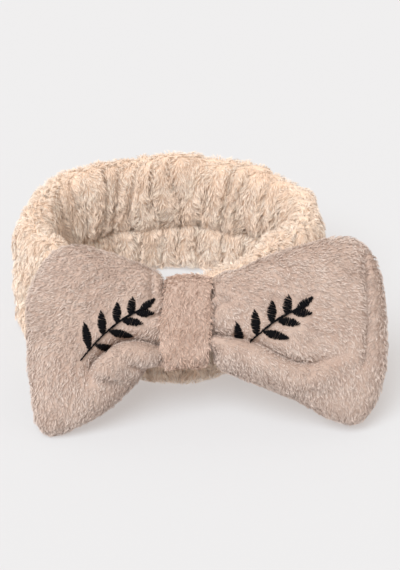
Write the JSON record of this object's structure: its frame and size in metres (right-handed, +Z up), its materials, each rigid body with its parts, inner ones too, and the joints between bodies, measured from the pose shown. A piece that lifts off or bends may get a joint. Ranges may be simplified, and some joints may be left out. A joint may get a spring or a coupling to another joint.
{
  "type": "spa headband",
  "caption": "Plush elastic headband that holds hair off the face, with a padded bow tied at the front.",
  "frame": {"origin": "centre of the bottom face of the bounding box, on the surface that the band stands on", "axes": "+Z up, along the axis of the head opening; the bow faces -Y; +X is to the right of someone facing the bow"},
  "size_m": [0.2116, 0.2204, 0.101],
  "materials": {
    "band_plush": "curly cream plush, matt",
    "bow_plush": "combed short plush, pinkish beige, matt",
    "wadding": "loose polyester wadding",
    "elastic": "knitted elastic with lengthwise ribs",
    "beige_thread": "twisted polyester thread",
    "black_thread": "satin-stitched thread, soft sheen",
    "backing": "non-woven stabiliser"
  },
  "bodies": {
    "band_front": {"band_sleeve_front": "band_plush", "seam_binding_front": "beige_thread", "elastic_front": "elastic", "elastic_lap": "elastic", "elastic_stitch_left": "beige_thread", "elastic_stitch_right": "beige_thread", "sleeve_end_seam": "beige_thread", "tack_stitch_upper": "beige_thread", "tack_stitch_lower": "beige_thread", "knot_strip": "bow_plush", "bow_core": "bow_plush", "knot_back_seam": "beige_thread"},
    "band_rear": {"band_sleeve_rear": "band_plush", "seam_binding_rear": "beige_thread", "elastic_rear": "elastic"},
    "left_lobe": {"left_lobe_front_panel": "bow_plush", "left_lobe_back_panel": "bow_plush", "left_lobe_edge_seam": "beige_thread", "left_lobe_wadding": "wadding", "left_lobe_embroidery": "black_thread", "left_lobe_embroidery_backing": "backing"},
    "right_lobe": {"right_lobe_front_panel": "bow_plush", "right_lobe_back_panel": "bow_plush", "right_lobe_edge_seam": "beige_thread", "right_lobe_wadding": "wadding", "right_lobe_embroidery": "black_thread", "right_lobe_embroidery_backing": "backing"}
  },
  "joints": [
    {"name": "band_stretch", "type": "slide", "parent": "band_front", "child": "band_rear", "axis": [0, 1, 0], "range_m": [0, 0.06], "stiffness_N_per_m": 100},
    {"name": "left_lobe_bend", "type": "hinge", "parent": "band_front", "child": "left_lobe", "pos_m": [-0.03119, -0.06531, 0.0575], "axis": [0.0523, 0.4973, 0.866], "range_deg": [0, 30], "stiffness_Nm_per_rad": 0.02},
    {"name": "right_lobe_bend", "type": "hinge", "parent": "band_front", "child": "right_lobe", "pos_m": [0.01535, -0.0702, 0.0575], "axis": [-0.0523, -0.4973, -0.866], "range_deg": [0, 30], "stiffness_Nm_per_rad": 0.02}
  ]
}
